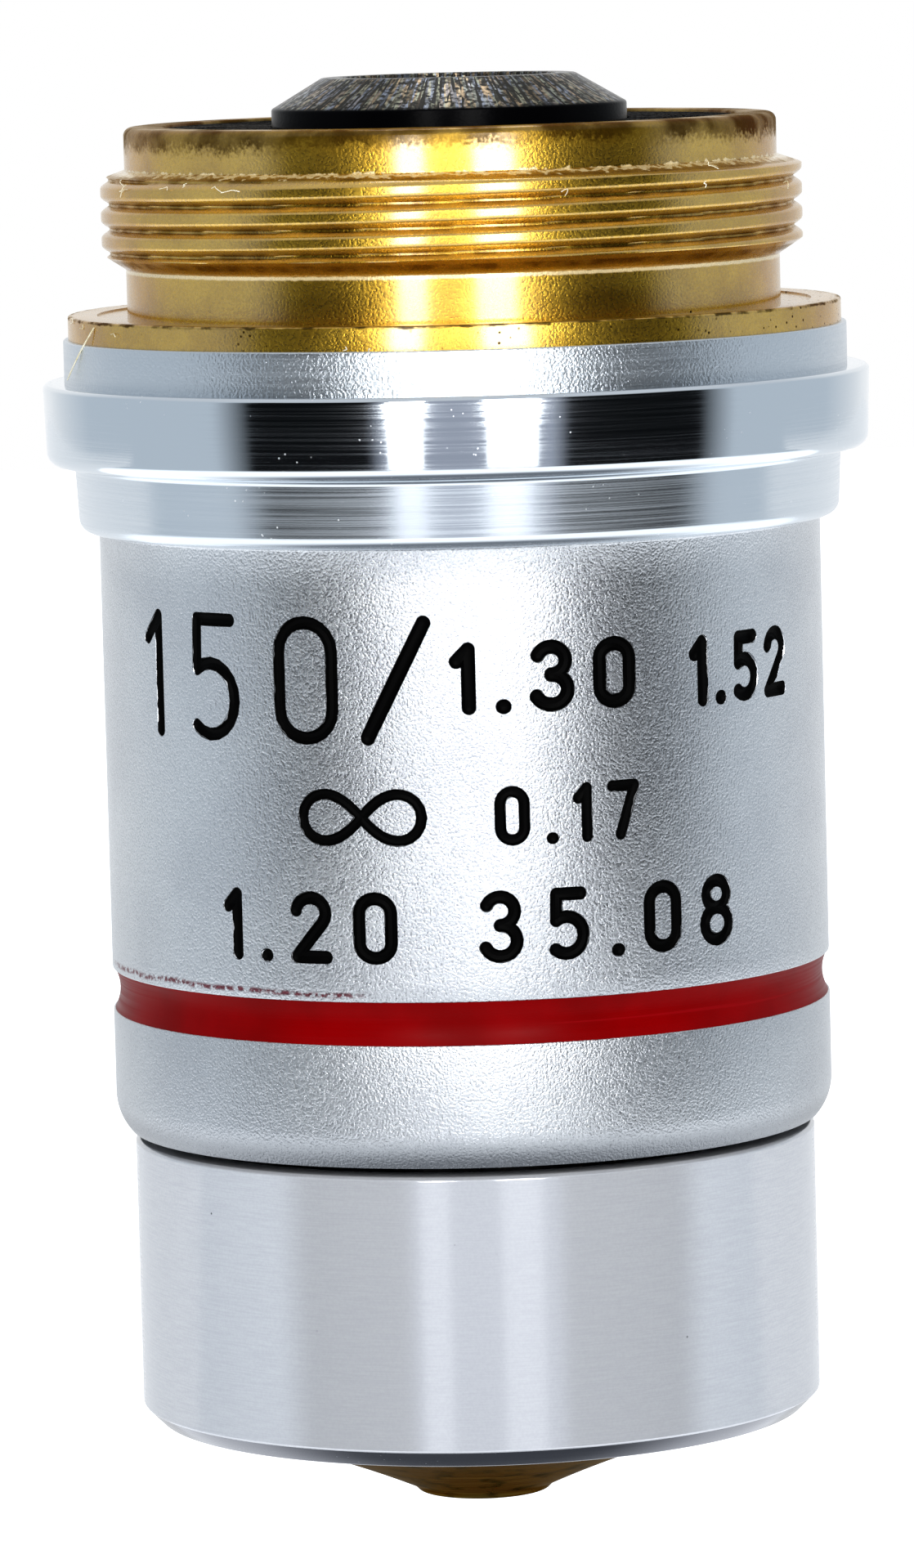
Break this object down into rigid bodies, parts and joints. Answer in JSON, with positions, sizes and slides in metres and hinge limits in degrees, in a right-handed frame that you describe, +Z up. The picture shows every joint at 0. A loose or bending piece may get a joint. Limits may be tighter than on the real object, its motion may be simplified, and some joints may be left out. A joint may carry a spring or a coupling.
{
  "type": "microscope objective",
  "caption": "High-power oil-immersion microscope objective: brass mounting thread, satin barrel with a raised ring and a red band, and a sprung nose sleeve that slides up into it.",
  "frame": {"origin": "middle of the shoulder face that seats on the microscope's nosepiece", "axes": "+Z up the optical axis through the mounting thread towards the eyepiece; the front lens points down, along -Z; X and Y lie in the shoulder's plane, with the guide pin on +Y"},
  "size_m": [0.024, 0.024, 0.0413],
  "materials": {
    "thread_brass": "turned bare brass with brown tarnish on the rim",
    "satin_chrome": "satin chrome, polished on the raised ring and step",
    "band_enamel": "gloss red enamel fill",
    "black_anodised": "black anodised, finely turned",
    "nose_aluminium": "fine turned satin",
    "tip_brass": "dull toned brass",
    "cell_brass": "turned",
    "spring_steel": "drawn wire",
    "crown_glass": "polished, coated",
    "flint_glass": "polished, coated"
  },
  "bodies": {
    "housing": {"thread_mount": "thread_brass", "body_sleeve": "satin_chrome", "colour_band": "band_enamel", "spring_retainer": "black_anodised", "guide_pin": "spring_steel", "nose_spring": "spring_steel"},
    "nose": {"lens_barrel": "black_anodised", "nose_sleeve": "nose_aluminium", "front_cell": "tip_brass", "front_lens": "crown_glass", "meniscus_lens": "crown_glass", "meniscus_ring": "cell_brass", "doublet_cell_1": "cell_brass", "crown_lens_1": "crown_glass", "flint_lens_1": "flint_glass", "lens_ring_1": "cell_brass", "stack_spacer_1": "cell_brass", "doublet_cell_2": "cell_brass", "crown_lens_2": "crown_glass", "flint_lens_2": "flint_glass", "lens_ring_2": "cell_brass", "stack_spacer_2": "cell_brass", "doublet_cell_3": "cell_brass", "crown_lens_3": "crown_glass", "flint_lens_3": "flint_glass", "lens_ring_3": "cell_brass", "stack_spacer_3": "cell_brass", "aperture_stop": "black_anodised", "rear_cell": "black_anodised", "rear_flint": "flint_glass", "rear_crown": "crown_glass", "rear_lens_ring": "cell_brass"}
  },
  "joints": [
    {"name": "nose_slide", "type": "slide", "parent": "housing", "child": "nose", "axis": [0, 0, 1], "range_m": [0, 0.002], "stiffness_N_per_m": 350, "springref_m": -0.005, "deforming": ["nose_spring"]}
  ]
}
